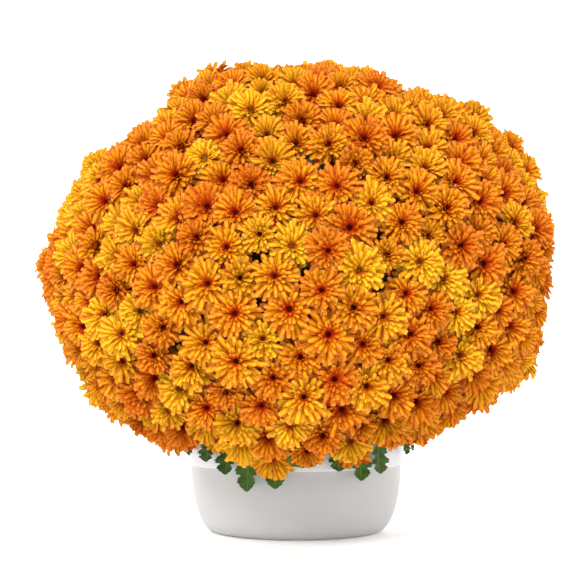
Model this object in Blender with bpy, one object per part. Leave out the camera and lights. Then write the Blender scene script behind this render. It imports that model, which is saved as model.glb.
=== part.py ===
"""Pot chrysanthemum: a garden mum in full bloom in a shallow round planter.

The plant is one mound of crowded double blooms. It stands on leafy shoots that fork under the blooms,
and the shoots stand in soil that fills the planter. Each shoot carries one spray of blooms. Lengths are in
metres, +Z is up, -Y is the front, and the origin is the middle of the planter's base, at its very bottom.
"""

import math

import bpy
import numpy as np
from mathutils import Matrix, Vector
from mathutils.bvhtree import BVHTree
from mathutils.geometry import delaunay_2d_cdt

# Driving dimensions: the planter

POT_RADIUS = 0.115  # outside of the rim band
POT_HEIGHT = 0.105
BAND_HEIGHT = 0.034  # the smooth band under the rim, which stands proud of the body
BAND_STEP = 0.004
WALL = 0.0028
BASE_RADIUS = 0.086
FOOT_HEIGHT = 0.003
FOOT_WIDTH = 0.005
FOOT_NOTCHES = 5
NOTCH_WIDTH = 0.017
DRAIN_RADIUS = 0.0045
POT_SIDES = 36

# Driving dimensions: the soil

SOIL_BELOW_RIM = 0.015
SOIL_SWELL = 0.003
FIT_GAP = 0.0004  # between solids that touch

# Driving dimensions: the mound of blooms, measured to the blooms' centres

MOUND_CENTRE = 0.262
MOUND_RADIUS = 0.257
MOUND_ABOVE = 0.224
MOUND_BELOW = 0.174
MOUND_UNDERCUT = 2.35  # above 2 the lower half is fuller than an ellipse
MOUND_END = math.radians(149)  # how far round from the crown the blooms reach
MOUND_LEAN = math.radians(3)  # towards the front

# Driving dimensions: the blooms

BLOOM_COUNT = 571
BLOOM_RADIUS = 0.023
CROWN_SHARE = 0.55  # radius of the ring of upper petals, of the bloom's
CROWN_DIMPLE = 0.004
CROWNED = 0.12  # share of the blooms open enough to show this ring and their dimpled middle
PETAL_DROOP = 0.008
BLOOM_STAGGER = 0.0055  # some blooms stand above the others
CLEFT_DEPTH = 0.019  # of the gaps between blooms, below the blooms' centres
SPRAY_EDGE_DEPTH = 0.026
HEM_RADIUS = 0.127  # nothing of the blooms is nearer the axis than this until well above the rim
HEM_CLEAR_ABOVE = 0.012
HEM_THICKNESS = 0.007
HEM_CLEFT_DEPTH = 0.011
HEM_DEPTH = 0.016  # the same along the mound's lower edge, which is clear of the planter's rim
SPRAY_CORE = 0.004  # how much deeper the middle of a spray's back is
SPRAY_GAP = 0.0011  # each side of the line between two sprays
SPRAY_COUNT = 20
NECK_PASSES = 6  # sweeps that move blooms which would hang on their spray by one side only
CELL_FILL = 0.95  # how far a petal reaches towards the line between two blooms
SHAKE = 0.34  # of the spacing: how far a bloom may start from its even place
EASE_PASSES = 12
EASE_TO = 0.93  # of the spacing: blooms nearer than this are eased apart
EASE_STEP = 0.3
STAND_IN_STEP = 0.62  # of the spacing: how far below the last blooms the ring that closes their cells lies
STAND_IN_SHARE = 1.6  # stand-ins in that ring for each spacing of its length

# Driving dimensions: shoots and leaves

STEM_SIDES = 4
STEM_RADIUS = 0.0034
BRANCH_RADIUS = 0.0016
BRANCH_SPREAD = 0.042
FORK_AT = 0.50  # of the stem's length
FORK_LENGTH = 0.09
STEM_DEPTH_IN_SOIL = 0.014
STEM_CLEAR = 0.001  # height above the soil of the stem's first section
STEM_RINGS = [0.004, 0.0085, 0.0115]  # and of the next three
STEM_RISE = 0.03  # how far above them it begins to bend to its spray
STEM_OUTWARD = 0.012
CROWN_OF_ROOTS = 0.090  # radius within which the shoots leave the soil
LEAF_LENGTH = 0.054
LEAF_HALF_WIDTH = 0.0135
LEAF_THICKNESS = 0.0018
# A leaf's sections from its stalk on: how far along the leaf each is, and its width as a share of the
# widest.
LEAF_SHARES = [0.15, 0.42, 0.52, 0.62, 0.74, 0.85, 1.0]
LEAF_WIDTHS = [0.09, 0.09, 0.80, 0.45, 1.0, 0.45]

# The leaves that hang over the rim: where each hangs, in degrees about Z from the front to the right, and
# how far down, as a share of the line below. That line runs outward from the rim's radius and up from its
# top.
SKIRT_LEAVES = [
    (-47, 0.60),
    (-34.5, 0.85),
    (-23, 1.20),
    (-9.5, 1.12),
    (6, 0.65),
    (20, 0.75),
    (31.5, 0.98),
    (43, 0.85),
    (66, 0.50),
    (92, 0.50),
    (118, 0.55),
    (144, 0.80),
    (170, 1.05),
    (196, 0.90),
    (222, 0.75),
    (248, 0.55),
    (274, 0.50),
    (298, 0.50),
]
SKIRT_PATH = [
    (0.0010, 0.0036),
    (0.0052, -0.0035),
    (0.0058, -0.013),
    (0.0060, -0.020),
    (0.0064, -0.028),
    (0.0070, -0.036),
    (0.0085, -0.045),
]
SKIRT_HALF_WIDTH = 0.0105
SKIRT_SHOOTS = 8  # the lowest shoots, which these leaves grow from

SEED = 7
GOLDEN_ANGLE = math.pi * (3 - math.sqrt(5))

# Each swell is (azimuth, elevation, height, spread): a push of the mound's surface about one direction from
# its centre. Azimuth 0 is +X, the right of the front view, and -90 is the front.
SWELLS = [
    (180, 85, -0.010, 5),
    (180, 63, 0.025, 9),
    (180, 46, -0.042, 11),
    (180, 28, 0.012, 12),
    (180, 14, -0.006, 8),
    (180, 2, 0.018, 6),
    (180, -12, -0.026, 8),
    (180, -36, -0.004, 11),
    (0, 80, 0.010, 8),
    (0, 66, -0.014, 10),
    (0, 35, 0.022, 20),
    (0, -4, -0.020, 6),
    (0, -20, 0.018, 7),
    (-5, -38, -0.018, 15),
    (-90, -34, 0.018, 14),
    (-90, -48, 0.012, 14),
    (-120, 20, -0.008, 18),
    (60, 20, 0.012, 22),
    (95, -5, 0.008, 25),
]

# Lumps are small swells that seeded draws spread evenly over the mound.
LUMPS = 90
LUMP_HEIGHT = 0.008  # of the highest, and depth of the deepest
LUMP_SPREAD = 8
LUMP_SEED = 15

# How far the blooms turn to the light: the elevation of the mound's outward normal, and the bloom's.
NORMAL_ELEVATION = [-90, -60, -30, 0, 45, 90]
BLOOM_ELEVATION = [-52, -30, -12, 8, 38, 90]
FRONT_PULL = 0.25  # and they all turn a little to the front


# Materials


def material(name, colour, roughness, metallic=0.0):
    made = bpy.data.materials.new(name)
    made.use_nodes = True
    shader = made.node_tree.nodes["Principled BSDF"]
    shader.inputs["Base Color"].default_value = (*colour, 1.0)
    shader.inputs["Roughness"].default_value = roughness
    shader.inputs["Metallic"].default_value = metallic
    return made


# Solids from points and faces


def solid(name, points, faces, finish, smooth=False):
    """A mesh object of that name, placed by its points."""
    mesh = bpy.data.meshes.new(name)
    mesh.from_pydata([tuple(map(float, p)) for p in points], [], [tuple(map(int, f)) for f in faces])
    mesh.materials.append(finish)
    if smooth:
        mesh.shade_smooth()
        mesh.set_sharp_from_angle(angle=math.radians(35))
    made = bpy.data.objects.new(name, mesh)
    bpy.context.scene.collection.objects.link(made)
    return made


def turned(profile, sides):
    """Points and faces of a profile of (radius, height) turned about Z.

    It starts and ends on the axis, and runs up the outside, so that faces point out.
    """
    rings, points, faces = [], [], []
    for radius, height in profile:
        if radius < 1e-6:
            rings.append([len(points)] * sides)
            points.append((0.0, 0.0, height))
            continue
        rings.append(list(range(len(points), len(points) + sides)))
        for k in range(sides):
            angle = math.tau * k / sides
            points.append((radius * math.cos(angle), radius * math.sin(angle), height))
    for low, high in zip(rings, rings[1:]):
        for k in range(sides):
            j = (k + 1) % sides
            corners = [low[k], low[j], high[j], high[k]]
            faces.append([c for i, c in enumerate(corners) if c not in corners[:i]])
    return points, faces


def combine(base, others, operation):
    """Joins or cuts base with other objects by one Boolean, applies it, and removes the others."""
    helpers = bpy.data.collections.new("helpers")
    bpy.context.scene.collection.children.link(helpers)
    for other in others:
        for owner in other.users_collection:
            owner.objects.unlink(other)
        helpers.objects.link(other)
    cut = base.modifiers.new("combine", "BOOLEAN")
    cut.operation = operation
    cut.operand_type = "COLLECTION"
    cut.collection = helpers
    cut.solver = "EXACT"
    with bpy.context.temp_override(object=base, active_object=base):
        bpy.ops.object.modifier_apply(modifier=cut.name)
    for other in others:
        bpy.data.objects.remove(other)
    bpy.data.collections.remove(helpers)
    return base


# The planter


def body_radius(height):
    """Outside radius of the planter's body: a quarter of an ellipse from the base up to the band."""
    below_band = POT_HEIGHT - BAND_HEIGHT
    rise = min(height / below_band, 1.0)
    bulge = POT_RADIUS - BAND_STEP - BASE_RADIUS
    return BASE_RADIUS + bulge * math.sqrt(1 - (1 - rise) ** 2)


def inner_profile():
    """The planter's inside, from the middle of its floor up to the rim, as (radius, height)."""
    floor = FOOT_HEIGHT + WALL
    below_band = POT_HEIGHT - BAND_HEIGHT
    heights = [floor, floor + 0.012, floor + 0.034, below_band]
    wall = [(body_radius(h) - WALL, h) for h in heights]
    wall[0] = (body_radius(floor) - WALL - 0.002, floor)
    return [(0.0, floor), *wall, (POT_RADIUS - WALL - 0.0005, POT_HEIGHT - 0.002)]


def planter(finish):
    below_band = POT_HEIGHT - BAND_HEIGHT
    foot_inside = BASE_RADIUS - FOOT_WIDTH
    body = [(body_radius(h), h) for h in (0.0, 0.007, 0.020, 0.042, below_band)]
    band = [
        (POT_RADIUS - 0.0005, below_band),
        (POT_RADIUS, POT_HEIGHT - 0.0025),
        (POT_RADIUS - 0.0012, POT_HEIGHT),
        (POT_RADIUS - WALL, POT_HEIGHT),
    ]
    underside = [(0.0, FOOT_HEIGHT), (foot_inside, FOOT_HEIGHT), (foot_inside, 0.0)]
    profile = [*underside, *body, *band, *reversed(inner_profile())]
    made = solid("planter", *turned(profile, POT_SIDES), finish, smooth=True)
    cutters = []
    for k in range(FOOT_NOTCHES):
        turn = Matrix.Rotation(math.tau * k / FOOT_NOTCHES - math.pi / 2, 4, "Z")
        notch = [
            turn @ Vector((x, y, z))
            for x in (foot_inside - 0.004, BASE_RADIUS + 0.02)
            for y in (-NOTCH_WIDTH / 2, NOTCH_WIDTH / 2)
            for z in (-0.005, FOOT_HEIGHT - 0.0004)
        ]
        box = [(0, 1, 3, 2), (4, 6, 7, 5), (0, 4, 5, 1), (2, 3, 7, 6), (0, 2, 6, 4), (1, 5, 7, 3)]
        cutters.append(solid("notch", notch, box, finish))
        hole, sides = turned([(0, -0.002), (DRAIN_RADIUS, -0.002), (DRAIN_RADIUS, 0.02), (0, 0.02)], 8)
        place = turn @ Matrix.Translation((foot_inside * 0.72, 0, 0))
        cutters.append(solid("drain", [place @ Vector(p) for p in hole], sides, finish))
    return combine(made, cutters, "DIFFERENCE")


# The soil, with a plain hole for each shoot


def soil(finish, stem_feet):
    level = POT_HEIGHT - SOIL_BELOW_RIM
    wall = inner_profile()[1:-1]
    slack = FIT_GAP / math.cos(math.pi / POT_SIDES)
    (low_r, low_z), (high_r, high_z) = inner_profile()[-2:]
    top_radius = low_r + (high_r - low_r) * (level - low_z) / (high_z - low_z)
    sides = [(r - slack, z) for r, z in wall[1:]]
    bottom = [(0.0, wall[0][1] + FIT_GAP), (wall[0][0] - slack, wall[0][1] + FIT_GAP)]
    top = [(top_radius - slack, level), (top_radius * 0.72, level + SOIL_SWELL), (0.0, level + SOIL_SWELL)]
    points, faces = turned([*bottom, *sides, *top], POT_SIDES)
    made = solid("soil", points, faces, finish)
    holes = []
    for foot in stem_feet:
        up = Vector((0, 0, 1))
        side = up.cross(Vector((*foot, 0))).normalized()
        radius = STEM_RADIUS + FIT_GAP / math.cos(math.pi / STEM_SIDES)
        bottom = Vector((*foot, level + SOIL_SWELL - STEM_DEPTH_IN_SOIL - FIT_GAP))
        ends = [ring(centre, up, side, radius) for centre in (bottom, bottom + up * 0.03)]
        walls = [(k, (k + 1) % STEM_SIDES) for k in range(STEM_SIDES)]
        walls = [(a, b, b + STEM_SIDES, a + STEM_SIDES) for a, b in walls]
        caps = [list(range(STEM_SIDES))[::-1], list(range(STEM_SIDES, 2 * STEM_SIDES))]
        holes.append(solid("hole", ends[0] + ends[1], walls + caps, finish))
    return combine(made, holes, "DIFFERENCE")


# The mound: the surface on which the blooms' centres lie


def swells():
    """(direction, height, spread) of the swells and the lumps."""
    found = []
    for side, rise, height, spread in SWELLS:
        a, e = math.radians(side), math.radians(rise)
        towards = np.array([math.cos(a) * math.cos(e), math.sin(a) * math.cos(e), math.sin(e)])
        found.append((towards, height, math.radians(spread)))
    draw = np.random.default_rng(LUMP_SEED)
    for _ in range(LUMPS):
        towards = draw.normal(size=3)
        height = draw.uniform(-LUMP_HEIGHT, LUMP_HEIGHT)
        found.append((towards / np.linalg.norm(towards), height, math.radians(LUMP_SPREAD)))
    return found


class Mound:
    """A turned dome, pushed in and out by the swells and lumps and leaned forward.

    A place on it is (turn, azimuth): turn is the angle down from the crown in the upper half, and goes on
    round the fuller lower half.
    """

    def __init__(self):
        self.swells = swells()
        self.turn = np.linspace(0.002, MOUND_END + 0.35, 3000)
        sine, cosine = np.sin(self.turn), np.cos(self.turn)
        upper = self.turn <= math.pi / 2
        fuller = 2 / MOUND_UNDERCUT
        self.radius = MOUND_RADIUS * np.where(upper, sine, np.abs(sine) ** fuller)
        drop = -MOUND_BELOW * np.abs(cosine) ** fuller
        self.height = MOUND_CENTRE + np.where(upper, MOUND_ABOVE * cosine, drop)
        dr, dz = np.gradient(self.radius), np.gradient(self.height)
        step = np.hypot(dr, dz)
        self.normal_r, self.normal_z = -dz / step, dr / step
        self.arc = np.concatenate([[self.radius[0]], self.radius[0] + np.cumsum(step[1:])])
        self.area = np.cumsum(math.tau * self.radius * step)
        # In this radius, triangles drawn on a flat disc keep the shape that they have on the mound.
        self.flat_radius = self.radius[0] * np.exp(np.cumsum(step / self.radius))

    def at(self, values, turn):
        return np.interp(turn, self.turn, values)

    def turn_at_area(self, area):
        return np.interp(area, self.area, self.turn)

    def place(self, turn, azimuth, depth=0.0):
        """(points, outward normals) of arrays of places, depth below the surface."""
        radius, height = self.at(self.radius, turn), self.at(self.height, turn)
        nr, nz = self.at(self.normal_r, turn), self.at(self.normal_z, turn)
        size = np.hypot(nr, nz)
        around = np.stack([np.cos(azimuth), np.sin(azimuth), np.zeros_like(azimuth)], -1)
        up = np.array([0.0, 0.0, 1.0])
        normal = (nr / size)[..., None] * around + (nz / size)[..., None] * up
        point = radius[..., None] * around + height[..., None] * up
        out = point - MOUND_CENTRE * up
        out = out / np.linalg.norm(out, axis=-1, keepdims=True)
        for towards, height, spread in self.swells:
            off = np.arccos(np.clip(out @ towards, -1, 1)) / spread
            point = point + out * (height * np.exp(-(off**2) / 2))[..., None]
        point = point - normal * depth
        c, s = math.cos(MOUND_LEAN), math.sin(MOUND_LEAN)
        lean = np.array([[1, 0, 0], [0, c, s], [0, -s, c]])
        pivot = np.array([0.0, 0.0, POT_HEIGHT])
        return (point - pivot) @ lean + pivot, normal @ lean


def bloom_places(mound):
    """(turn, azimuth) of each bloom: a sunflower spiral even in area, shaken, then eased apart."""
    draw = np.random.default_rng(SEED)
    covered = mound.at(mound.area, MOUND_END)
    spacing = math.sqrt(covered / BLOOM_COUNT * 2 / math.sqrt(3))
    index = np.arange(BLOOM_COUNT)
    turn = mound.turn_at_area(covered * (index + 0.5) / BLOOM_COUNT)
    azimuth = index * GOLDEN_ANGLE
    shake = draw.uniform(-SHAKE, SHAKE, (2, BLOOM_COUNT)) * spacing
    per_turn = mound.at(np.gradient(mound.arc, mound.turn), turn)
    turn = np.clip(turn + shake[0] / per_turn, 0.01, MOUND_END)
    azimuth = azimuth + shake[1] / mound.at(mound.radius, turn)
    for _ in range(EASE_PASSES):
        point, normal = mound.place(turn, azimuth)
        apart = point[:, None] - point[None]
        distance = np.linalg.norm(apart, axis=-1) + np.eye(BLOOM_COUNT)
        push = np.clip(EASE_TO * spacing - distance, 0, None) * (1 - np.eye(BLOOM_COUNT))
        move = EASE_STEP * (apart / distance[..., None] * push[..., None]).sum(1)
        around = np.stack([-np.sin(azimuth), np.cos(azimuth), np.zeros(BLOOM_COUNT)], -1)
        down = np.cross(around, normal)
        per_turn = mound.at(np.gradient(mound.arc, mound.turn), turn)
        turn = np.clip(turn + (move * down).sum(1) / per_turn, 0.01, MOUND_END)
        azimuth = azimuth + (move * around).sum(1) / mound.at(mound.radius, turn)
    return turn, azimuth, spacing


def bloom_axes(mound, turn, azimuth):
    """Unit vectors that the blooms face along: low blooms turn up to the light."""
    nr, nz = mound.at(mound.normal_r, turn), mound.at(mound.normal_z, turn)
    elevation = np.degrees(np.arctan2(nz, nr))
    turned_up = np.radians(np.interp(elevation, NORMAL_ELEVATION, BLOOM_ELEVATION))
    flat = np.cos(turned_up)
    axis = np.stack([flat * np.cos(azimuth), flat * np.sin(azimuth) - FRONT_PULL, np.sin(turned_up)], -1)
    return axis / np.linalg.norm(axis, axis=1)[:, None]


# The sprays of blooms


def spray_of_bloom(mound, points, corners):
    """(which spray each bloom belongs to, the sprays' azimuths): the nearest of an even spiral of sprays.

    A bloom that hangs on its spray by one side only goes to the spray that most of its neighbours belong
    to.
    """
    index = np.arange(SPRAY_COUNT)
    covered = mound.at(mound.area, MOUND_END)
    turn = mound.turn_at_area(covered * (index + 0.5) / SPRAY_COUNT)
    azimuth = index * GOLDEN_ANGLE
    centres, _ = mound.place(turn, azimuth)
    distance = np.linalg.norm(points[:, None] - centres[None], axis=-1)
    owner = distance.argmin(1)
    owner[BLOOM_COUNT:] = -1
    thirds, near = {}, [set() for _ in points]
    for p, q, r in corners.tolist():
        for a, b, c in ((p, q, r), (q, r, p), (r, p, q)):
            thirds.setdefault((min(a, b), max(a, b)), []).append(c)
            near[a].update((b, c))
    for _ in range(NECK_PASSES):
        for (a, b), ends in thirds.items():
            if owner[a] != owner[b] or owner[a] < 0 or owner[a] in owner[ends]:
                continue
            kin = [sum(owner[c] == owner[x] for c in near[x]) for x in (a, b)]
            loser = a if kin[0] <= kin[1] else b
            owner[loser] = most_common(owner, near[loser], owner[loser])
        for j in range(SPRAY_COUNT):
            own = np.flatnonzero(owner == j)
            reached = [own[np.linalg.norm(points[own] - centres[j], axis=-1).argmin()]]
            for b in reached:
                reached.extend(c for c in near[b] if owner[c] == j and c not in reached)
            for b in set(own.tolist()) - set(reached):
                owner[b] = most_common(owner, near[b], j)
    return owner[:BLOOM_COUNT], azimuth


def most_common(owner, near, own):
    """The spray, other than its own, that most of a bloom's neighbours belong to."""
    others = [int(owner[c]) for c in sorted(near) if owner[c] not in (-1, own)]
    return max(sorted(set(others)), key=others.count)


def cells(mound, turn, azimuth, spacing):
    """The blooms' cells: the corners, each as the three blooms that meet there, and each bloom's own.

    A bloom's own corners are in order round it. A ring of stand-ins below the lowest blooms closes the
    lowest cells, and their places follow the blooms'.
    """
    per_turn = mound.at(np.gradient(mound.arc, mound.turn), MOUND_END)
    edge = MOUND_END + STAND_IN_STEP * spacing / per_turn
    count = round(math.tau * mound.at(mound.radius, MOUND_END) / spacing * STAND_IN_SHARE)
    ring = np.arange(count) * math.tau / count
    turn = np.concatenate([turn, np.full(count, edge)])
    azimuth = np.concatenate([azimuth, ring])
    flat = mound.at(mound.flat_radius, turn)
    flat = np.stack([flat * np.cos(azimuth), flat * np.sin(azimuth)], -1)
    found = delaunay_2d_cdt([Vector(p) for p in flat], [], [], 0, 1e-9)
    back = {new: olds[0] for new, olds in enumerate(found[3])}
    corners = [[back[v] for v in face] for face in found[2]]
    following = [{} for _ in turn]
    for c, (p, q, r) in enumerate(corners):
        following[p][q] = (r, c)
        following[q][r] = (p, c)
        following[r][p] = (q, c)
    loops = []
    for b in range(BLOOM_COUNT):
        first = next(iter(following[b]))
        loop, neighbour = [], first
        for _ in following[b]:
            neighbour, corner = following[b][neighbour]
            loop.append(corner)
        loops.append(loop)
    return np.array(corners), loops, turn, azimuth


def clear_of_rim(place, margin=0.0):
    """The place, moved out if it is so low that it would touch the rim or the leaves that hang over it."""
    radius = math.hypot(place[0], place[1])
    if place[2] > POT_HEIGHT + HEM_CLEAR_ABOVE or radius > HEM_RADIUS + margin:
        return place
    out = (HEM_RADIUS + margin) / radius
    return np.array([place[0] * out, place[1] * out, place[2]])


def frame_of(axis):
    """Two unit vectors square to axis, the first as level as can be."""
    level = np.cross([0.0, 0.0, 1.0], axis)
    if np.linalg.norm(level) < 1e-3:
        level = np.array([1.0, 0.0, 0.0])
    level = level / np.linalg.norm(level)
    return level, np.cross(axis, level)


def bloom(middle, axis, corners, lift, crowned):
    """Points and faces of one double bloom. Its corners are the clefts around it, and come first.

    A petal points at each neighbour, and rises from the two clefts beside it. In a crowned bloom the petals
    rise to a ring of upper petals around a dimple, and in the others to the middle.
    """
    across = (corners + np.roll(corners, -1, axis=0)) / 2 - middle
    across -= np.outer(across @ axis, axis)
    room = np.linalg.norm(across, axis=1)
    outward = across / room[:, None]
    tip = np.minimum(BLOOM_RADIUS, CELL_FILL * room)
    top = middle + axis * lift
    tips = top + outward * tip[:, None] - axis * PETAL_DROOP
    points = [*corners, *tips]
    count = len(corners)
    faces = []
    if crowned:
        points.extend(top + outward * (CROWN_SHARE * tip)[:, None])
        points.append(top - axis * CROWN_DIMPLE)
    else:
        points.append(top)
    for k in range(count):
        j = (k + 1) % count
        petal, next_petal = count + k, count + j
        upper, next_upper = (2 * count + k, 2 * count + j) if crowned else (2 * count, 2 * count)
        if crowned:
            faces.append((3 * count, upper, next_upper))
            faces.append((upper, j, next_upper))
        faces.append((upper, petal, j))
        faces.append((next_upper, j, next_petal))
        faces.append((petal, k, j))
    return points, faces


def spray(name, members, corners, loops, points, axes, finish):
    """One spray's blooms as a single body: each bloom stands out of a thin core between deep clefts."""
    draw = np.random.default_rng(SEED + 1)
    lifts = draw.uniform(-1, 1, BLOOM_COUNT) * BLOOM_STAGGER
    crowned = draw.uniform(0, 1, BLOOM_COUNT) < CROWNED
    own = set(members)
    hem = {b for b in members if corners[loops[b]].max() >= BLOOM_COUNT}
    verts, faces, cleft = [], [], {}
    for c in sorted({c for b in members for c in loops[b]}):
        inner = [b for b in corners[c] if b in own]
        outer = [b for b in corners[c] if b not in own]
        if outer:
            depth = HEM_DEPTH if max(outer) >= BLOOM_COUNT else SPRAY_EDGE_DEPTH
        else:
            depth = HEM_CLEFT_DEPTH if hem.intersection(inner) else CLEFT_DEPTH
        place = points[corners[c]].mean(0) - axes[corners[c]].mean(0) * depth
        if outer:
            inwards = points[inner].mean(0) - points[outer].mean(0)
            place = place + inwards / np.linalg.norm(inwards) * SPRAY_GAP
        cleft[c] = len(verts)
        verts.append(clear_of_rim(place, 0.0 if outer else HEM_THICKNESS))
    after = {}
    for b in members:
        loop = [cleft[c] for c in loops[b]]
        count = len(loop)
        around = np.array([verts[v] for v in loop])
        placed, pieces = bloom(points[b], axes[b], around, lifts[b], crowned[b])
        base = len(verts) - count
        verts.extend(placed[count:])
        faces.extend([loop[v] if v < count else base + v for v in piece] for piece in pieces)
        for here, there in zip(loop, loop[1:] + loop[:1]):
            if after.get(there) and here in after[there]:
                after[there].remove(here)
            else:
                after.setdefault(here, []).append(there)
    border = {here: there[0] for here, there in after.items() if there}
    edge = [next(iter(border))]
    while border[edge[-1]] != edge[0]:
        edge.append(border[edge[-1]])
        if len(edge) > len(border):
            raise ValueError(f"the edge of {name} is not one loop")
    level, upward = frame_of(axes[members].mean(0))
    middle = points[members].mean(0)
    nearest = members[np.linalg.norm(points[members] - middle, axis=-1).argmin()]
    verts.append(clear_of_rim(points[nearest] - axes[nearest] * (SPRAY_EDGE_DEPTH + SPRAY_CORE)))
    flat = [Vector((float(verts[v] @ level), float(verts[v] @ upward))) for v in [*edge, len(verts) - 1]]
    sides = [(k, (k + 1) % len(edge)) for k in range(len(edge))]
    filled = delaunay_2d_cdt(flat, sides, [], 1, 1e-9)
    for a, b, c in filled[2]:
        back = [[*edge, len(verts) - 1][filled[3][v][0]] for v in (c, b, a)]
        faces.append(back)
    return solid(name, verts, faces, finish)


# Shoots: stems, branches and leaves


def ring(centre, ahead, side, radius):
    """The corners of a stem's section, in order about the way ahead. The first lies towards side."""
    first = (side - ahead * ahead.dot(side)).normalized()
    second = ahead.cross(first)
    angles = [math.tau * k / STEM_SIDES for k in range(STEM_SIDES)]
    return [centre + radius * (math.cos(a) * first + math.sin(a) * second) for a in angles]


def curve(start, pull, end, share):
    """A point on the bent line from start to end that leaves start towards pull."""
    return start * (1 - share) ** 2 + pull * 2 * share * (1 - share) + end * share**2


class Growth:
    """A shoot as one body: branches and leaves grow out of the sides of its stem."""

    def __init__(self, path, radii, side):
        self.points, self.faces, self.sides = [], [], {}
        self.path = path
        steps = len(path) - 1
        for k in range(steps):
            ahead = (path[k + 1] - path[max(k - 1, 0)]).normalized()
            self.points.extend(ring(path[k], ahead, side, radii[k]))
        self.points.append(path[-1])
        tip = len(self.points) - 1
        self.faces.append([STEM_SIDES - 1 - s for s in range(STEM_SIDES)])
        for k in range(steps):
            for s in range(STEM_SIDES):
                a, b = k * STEM_SIDES + s, k * STEM_SIDES + (s + 1) % STEM_SIDES
                if k == steps - 1:
                    self.faces.append([a, b, tip])
                else:
                    self.sides[k, s] = [a, b, b + STEM_SIDES, a + STEM_SIDES]

    def outward(self, side):
        """The way that a side of the stem faces, and its middle."""
        a, b, c, d = (self.points[v] for v in self.sides[side])
        return (c - a).cross(d - b).normalized(), (a + b + c + d) / 4

    def facing(self, step, towards):
        """The free side of the stem's step that faces most nearly towards a direction."""
        free = [side for side in self.sides if side[0] == step]
        return max(free, key=lambda side: self.outward(side)[0].dot(towards))

    def sprout(self, side, sections, tip):
        """Grows a limb from a side of the stem, through sections of four points each, to its tip."""
        loop = self.sides.pop(side)
        for section in sections:
            base = len(self.points)
            self.points.extend(section)
            following = list(range(base, base + 4))
            for k in range(4):
                j = (k + 1) % 4
                self.faces.append([loop[k], loop[j], following[j], following[k]])
            loop = following
        self.points.append(tip)
        self.faces.extend([loop[k], loop[(k + 1) % 4], len(self.points) - 1] for k in range(4))

    def body(self, name, finish):
        return solid(name, self.points, self.faces + list(self.sides.values()), finish)


def branch(growth, side, target, tree):
    """A side branch from a side of the stem to just short of the back of the blooms."""
    step = side[0]
    _, middle = growth.outward(side)
    tip = touch(tree, middle, target)
    stem_ahead = (growth.path[step + 1] - growth.path[step]).normalized()
    knee = middle.lerp(tip, 0.5) + stem_ahead * 0.05 * (tip - middle).length
    ahead = (tip - knee).normalized()
    up = (stem_ahead - ahead * ahead.dot(stem_ahead)).normalized()
    right = up.cross(ahead)
    square = [knee + BRANCH_RADIUS * (right * x + up * y) for x, y in ((-1, -1), (1, -1), (1, 1), (-1, 1))]
    growth.sprout(side, [square], tip)


def touch(tree, start, target):
    """Where a shoot from start towards target ends, just short of the back of its spray."""
    ahead = (target - start).normalized()
    hit = tree.ray_cast(start, ahead)[0]
    return hit - ahead * FIT_GAP * 1.4


def leaf(growth, side, path, above, half_width):
    """A lobed leaf on its stalk, from a side of the stem through the path's points.

    It is keeled underneath. above holds the way that its upper face looks at each section.
    """
    _, start = growth.outward(side)
    line = [start, *path]
    sections = []
    for k, share in enumerate(LEAF_WIDTHS, 1):
        ahead = (line[k + 1] - line[k - 1]).normalized()
        right = above[k - 1].cross(ahead).normalized() * half_width * share
        up = ahead.cross(right).normalized() * LEAF_THICKNESS / 2
        sections.append([line[k] - up, line[k] + right, line[k] + up, line[k] - right])
    growth.sprout(side, sections, path[-1])


def shoot(name, foot, tree, centre, heads, skirt, finish):
    """One shoot: a stem from its hole in the soil to the back of its spray, with branches and leaves."""
    level = POT_HEIGHT - SOIL_BELOW_RIM + SOIL_SWELL
    up = Vector((0, 0, 1))
    ground = Vector((*foot, level - STEM_DEPTH_IN_SOIL))
    start = ground + up * (STEM_DEPTH_IN_SOIL + STEM_CLEAR)
    outward = Vector((*foot, 0)).normalized()
    sideways = up.cross(outward)
    towards = Vector(centre)
    low = [ground + up * (STEM_DEPTH_IN_SOIL + height) for height in STEM_RINGS]
    pull = low[-1] + up * (STEM_RISE + 0.3 * max(towards.z - MOUND_CENTRE, 0)) + outward * STEM_OUTWARD
    end = touch(tree, pull, towards)
    forks = [curve(low[-1], pull, end, share) for share in (FORK_AT, FORK_AT + FORK_LENGTH)]
    radii = [STEM_RADIUS] * 5 + [STEM_RADIUS * 0.9, STEM_RADIUS * 0.8]
    growth = Growth([ground, start, *low, *forks, end], radii, sideways)
    for side in ((5, 0), (5, 2)):
        wanted = np.array(towards + growth.outward(side)[0] * BRANCH_SPREAD)
        nearest = heads[np.linalg.norm(heads - wanted, axis=-1).argmin()]
        branch(growth, side, Vector(nearest), tree)
    if not skirt:
        side = max((5, 1), (5, 3), key=lambda s: -growth.outward(s)[0].z)
        away, root = growth.outward(side)
        ahead = (forks[1] - forks[0]).normalized()
        away = (away - ahead * ahead.dot(away)).normalized()
        tip = root + (away * 0.9 + ahead * 0.25) * LEAF_LENGTH
        path = [curve(root, root + away * LEAF_LENGTH / 2, tip, share) for share in LEAF_SHARES]
        leaf(growth, side, path, [ahead] * len(path), LEAF_HALF_WIDTH)
    facing = math.atan2(foot[1], foot[0])
    for k, (azimuth, share) in enumerate(sorted(skirt, key=lambda leaf: math.cos(leaf[0] - facing))):
        out = Vector((math.cos(azimuth), math.sin(azimuth), 0))
        heights = [POT_HEIGHT + h * (share if h < 0 else 1) for _, h in SKIRT_PATH]
        path = [out * (POT_RADIUS + r) + up * z for (r, _), z in zip(SKIRT_PATH, heights)]
        side = growth.facing((1, 3, 3, 1)[k], path[0] - ground)
        leaf(growth, side, path, [up, out + up] + [out] * len(path), SKIRT_HALF_WIDTH)
    return growth.body(name, finish)


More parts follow.
